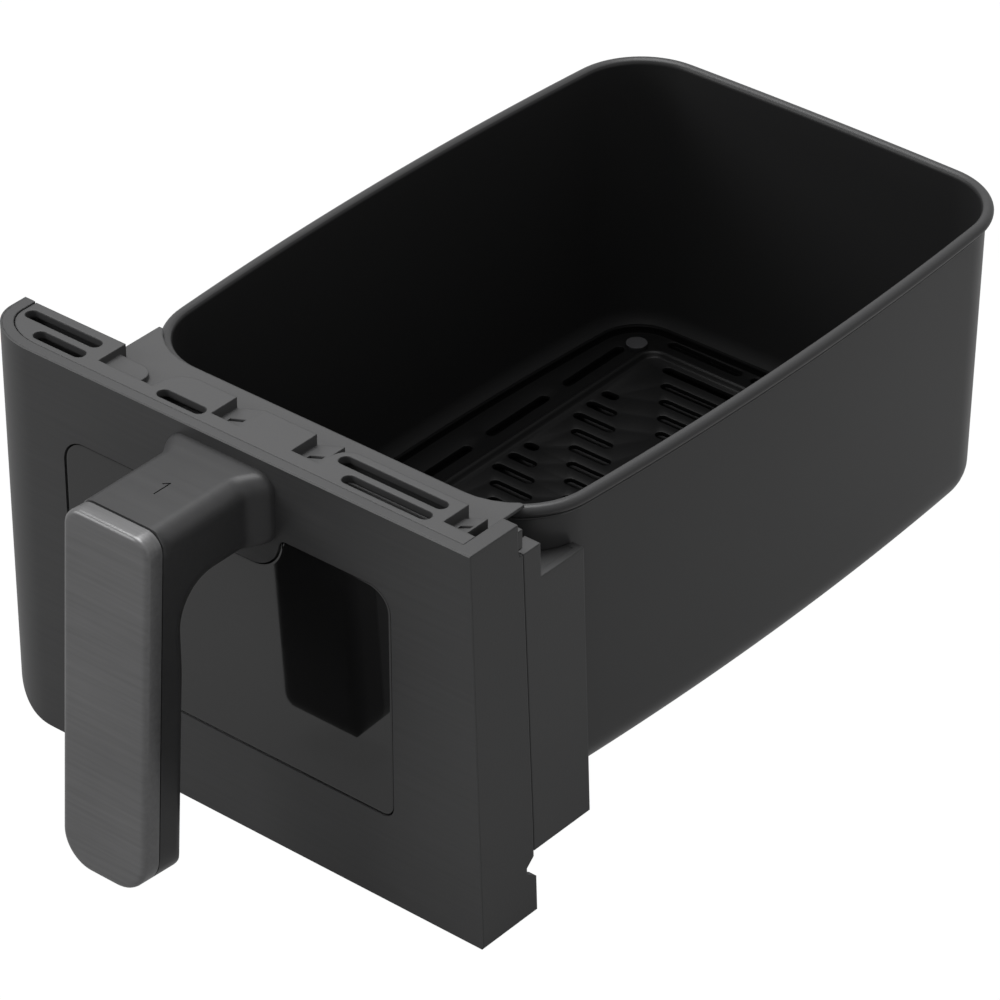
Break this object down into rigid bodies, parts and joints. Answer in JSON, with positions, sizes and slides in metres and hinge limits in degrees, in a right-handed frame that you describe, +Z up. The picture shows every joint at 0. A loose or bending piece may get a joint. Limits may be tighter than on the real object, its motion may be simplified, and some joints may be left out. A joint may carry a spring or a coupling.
{
  "type": "air fryer drawer",
  "caption": "Pull-out drawer of a dual-zone air fryer: coated pan with rolled rim, lift-out crisper plate, windowed front cover and an L-shaped handle.",
  "frame": {"origin": "middle of the part's bounding box, on the plane under the front cover's foot", "axes": "+Z up, +Y from the handle to the back of the pan, +X to the right as seen from the handle"},
  "size_m": [0.1904, 0.3188, 0.1326],
  "materials": {
    "pan_coating": "dark grey ceramic non-stick coating on aluminium, satin",
    "clear_glass": "clear heat-resistant glass",
    "dark_glass": "smoked glossy outer pane",
    "seal": "dark silicone",
    "steel": "plain pressed and turned steel",
    "housing_plastic": "dark grey heat-resistant plastic, fine texture",
    "fascia": "dark brushed sheet, satin",
    "grip_plate": "dark brushed plate with bright bevels",
    "handle_plastic": "near-black plastic, semi gloss"
  },
  "bodies": {
    "drawer": {"pan_shell": "pan_coating", "sight_glass": "clear_glass", "sight_gasket": "seal", "sight_frame": "steel", "sight_screws": "steel", "upper_bracket": "steel", "lower_bracket": "steel", "bracket_screws": "steel", "inner_housing": "housing_plastic", "housing_screws": "steel", "window_shroud": "handle_plastic", "front_cover": "housing_plastic", "cover_screws": "steel", "fascia_skin": "fascia", "window_pane": "dark_glass", "pane_gasket": "seal", "handle_shell": "handle_plastic", "handle_insert": "steel", "handle_screws": "steel", "grip_cap": "grip_plate", "grip_screws": "steel"},
    "crisper": {"crisper_plate": "pan_coating", "crisper_bumpers": "seal"}
  },
  "joints": [
    {"name": "crisper_lift", "type": "slide", "parent": "drawer", "child": "crisper", "axis": [0, 0, 1], "range_m": [0, 0.11]}
  ]
}
